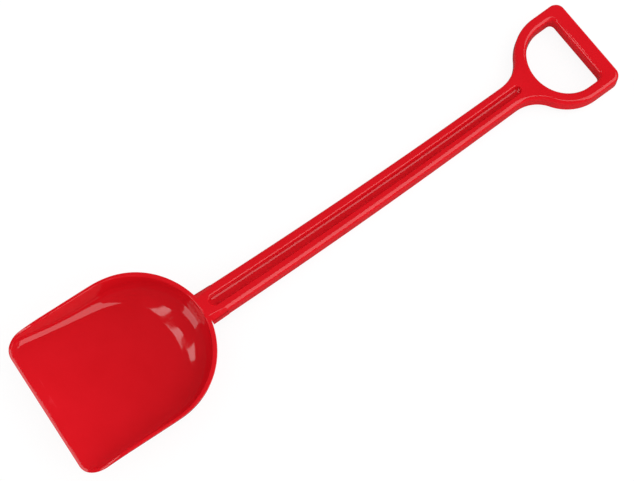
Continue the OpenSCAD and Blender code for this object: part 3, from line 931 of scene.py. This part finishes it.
def paper_backdrop(name):
    mat = empty_material(name)
    tree = mat.node_tree
    ray = node(tree, "ShaderNodeLightPath")
    shade = node(tree, "ShaderNodeMix",
                 {"data_type": "RGBA", 6: linear("#666666"), 7: linear("#e8e8e8")},
                 {0: ray.outputs["Is Diffuse Ray"]})
    matt = node(tree, "ShaderNodeBsdfDiffuse", None, {"Color": shade.outputs[2]})
    seen = node(tree, "ShaderNodeMath", {"operation": "MULTIPLY", 1: CAMERA_GLOW},
                {0: ray.outputs["Is Camera Ray"]})
    glow = node(tree, "ShaderNodeEmission", {"Color": WHITE}, {"Strength": seen.outputs["Value"]})
    both = node(tree, "ShaderNodeAddShader", None,
                {0: matt.outputs["BSDF"], 1: glow.outputs["Emission"]})
    node(tree, "ShaderNodeOutputMaterial", None, {"Surface": both.outputs["Shader"]})
    return mat


bpy.ops.mesh.primitive_plane_add(size=FLOOR_SIZE)
floor = bpy.context.object
floor.name = "floor"
floor.data.materials.append(paper_backdrop("white_paper_backdrop"))
print("floor of", FLOOR_SIZE, "m, white to the camera")

# %% [markdown]
# ## Lights that the plastic mirrors
# On glossy plastic, a light is drawn by its reflection. The highlights here call for a large
# softbox on the right, a low one beyond the scoop's tip and three window panes overhead. Each is
# a glowing cloth with its own corners, because the shape of a lamp could not be set so freely.
# A pane's corners are given as the two angles at which the scoop's heel sees them.

# %% Softboxes and window panes
HEEL, FAR = (0.0, -0.15, 0.01), 1.4
RIGHT_BOX = ((-0.16, -0.01, 2.0), (3.0, 0.25, 0.95), (3.0, 2.1, 0.95), (-0.16, 2.1, 2.0))
TIP_BOX = ((-23.0, -44.0), (-8.0, -44.0), (-2.0, -82.0), (-29.0, -82.0))
PANES = (
    ((-12.3, -3.5), (-10.5, -3.5), (-4.5, -24.0), (-6.5, -28.0)),
    ((-15.6, -0.5), (-13.7, -0.5), (-13.3, -11.0), (-16.6, -12.0)),
    ((-19.3, -7.0), (-17.3, -7.0), (-22.0, -26.0), (-23.6, -16.0)),
)
RIGHT_GLOW, TIP_GLOW, PANE_GLOW = 2.1, 2.2, 3.6


def softbox(name, corners, strength):
    """A glowing cloth with four corners, given in metres."""
    cloth = empty_material(name + "_cloth")
    tree = cloth.node_tree
    light = node(tree, "ShaderNodeEmission", {"Color": WHITE, "Strength": strength})
    node(tree, "ShaderNodeOutputMaterial", None, {"Surface": light.outputs["Emission"]})
    mesh = bpy.data.meshes.new(name)
    mesh.from_pydata([tuple(c) for c in corners], [], [list(range(len(corners)))])
    mesh.materials.append(cloth)
    obj = bpy.data.objects.new(name, mesh)
    bpy.context.scene.collection.objects.link(obj)
    obj.visible_camera = False


def toward(lean_x, lean_y):
    """The place FAR away from the heel in a direction that leans from the upright by two angles."""
    lean = math.hypot(lean_x, lean_y)
    side = math.sin(math.radians(lean)) / lean
    way = np.array([lean_x * side, lean_y * side, math.cos(math.radians(lean))])
    return np.array(HEEL) + FAR * way


softbox("softbox_right", RIGHT_BOX, RIGHT_GLOW)
for i, pane in enumerate(PANES):
    softbox("window_pane_%d" % (i + 1), [toward(*lean) for lean in pane], PANE_GLOW)
softbox("softbox_tip", [toward(*lean) for lean in TIP_BOX], TIP_GLOW)
print("two softboxes and", len(PANES), "window panes")

# %% [markdown]
# ## The room
# The room gives an even light that is brightest near the horizon and a touch brighter beyond the
# grip, as between pale walls. Glossy rays see it almost dark, or else its glow would veil the
# plastic's red.

# %% World
HORIZON_GLOW, OVERHEAD_GLOW, OVERHEAD_FROM = 2.0, 0.48, 0.6
TIP_END_GAIN, GRIP_END_GAIN = 1.1, 1.2
GLOSSY_GLOW = 0.06


def soft_room(name):
    world = bpy.data.worlds.new(name)
    world.use_nodes = True
    tree = world.node_tree
    ray = node(tree, "ShaderNodeLightPath")
    way = node(tree, "ShaderNodeTexCoord").outputs["Generated"]
    axes = node(tree, "ShaderNodeSeparateXYZ", None, {"Vector": way})
    height = node(tree, "ShaderNodeMapRange",
                  {"From Min": 0.0, "From Max": OVERHEAD_FROM,
                   "To Min": HORIZON_GLOW, "To Max": OVERHEAD_GLOW}, {"Value": axes.outputs["Z"]})
    tilt = node(tree, "ShaderNodeMapRange",
                {"From Min": -1.0, "From Max": 1.0,
                 "To Min": TIP_END_GAIN, "To Max": GRIP_END_GAIN}, {"Value": axes.outputs["Y"]})
    soft = node(tree, "ShaderNodeMath", {"operation": "MULTIPLY"},
                {0: height.outputs["Result"], 1: tilt.outputs["Result"]})
    level = node(tree, "ShaderNodeMapRange", {"To Max": GLOSSY_GLOW},
                 {"Value": ray.outputs["Is Glossy Ray"], "To Min": soft.outputs["Value"]})
    backdrop = tree.nodes["Background"]
    backdrop.inputs["Color"].default_value = WHITE
    tree.links.new(level.outputs["Result"], backdrop.inputs["Strength"])
    return world


bpy.context.scene.world = soft_room("soft room")
print("room: %.2f at the horizon, %.2f overhead" % (HORIZON_GLOW, OVERHEAD_GLOW))

# %% [markdown]
# ## The camera
# The picture looks down on the shovel from almost above, with the scoop at the lower left. The
# camera's place and its three directions were fitted to the outline of the scoop, the shaft and
# the grip, and its focal length is given in pixels of a picture of this width.

# %% Camera
CAMERA_AT = (0.24981, -0.121868, 0.964109)
RIGHT = Vector((0.57679, 0.81487, -0.05739))
UP = Vector((-0.77873, 0.56971, 0.26271))
BACKWARD = Vector((0.24677, -0.10684, 0.96317))
SENSOR_MM, FOCAL_PX, PICTURE_PX = 36, 1184, 634

lens = bpy.data.cameras.new("camera")
lens.sensor_width = SENSOR_MM
lens.lens = SENSOR_MM * FOCAL_PX / PICTURE_PX
camera = bpy.data.objects.new("camera", lens)
turned = Matrix((RIGHT, UP, BACKWARD)).transposed().to_4x4()
camera.matrix_world = Matrix.Translation(CAMERA_AT) @ turned
bpy.context.scene.collection.objects.link(camera)
bpy.context.scene.camera = camera
bpy.context.scene.view_settings.view_transform = "Standard"
print("lens of %.1f mm" % lens.lens)

# %% [markdown]
# ## Finish
# The last cell brings the view layer up to date.

# %% Finish
bpy.context.view_layer.update()
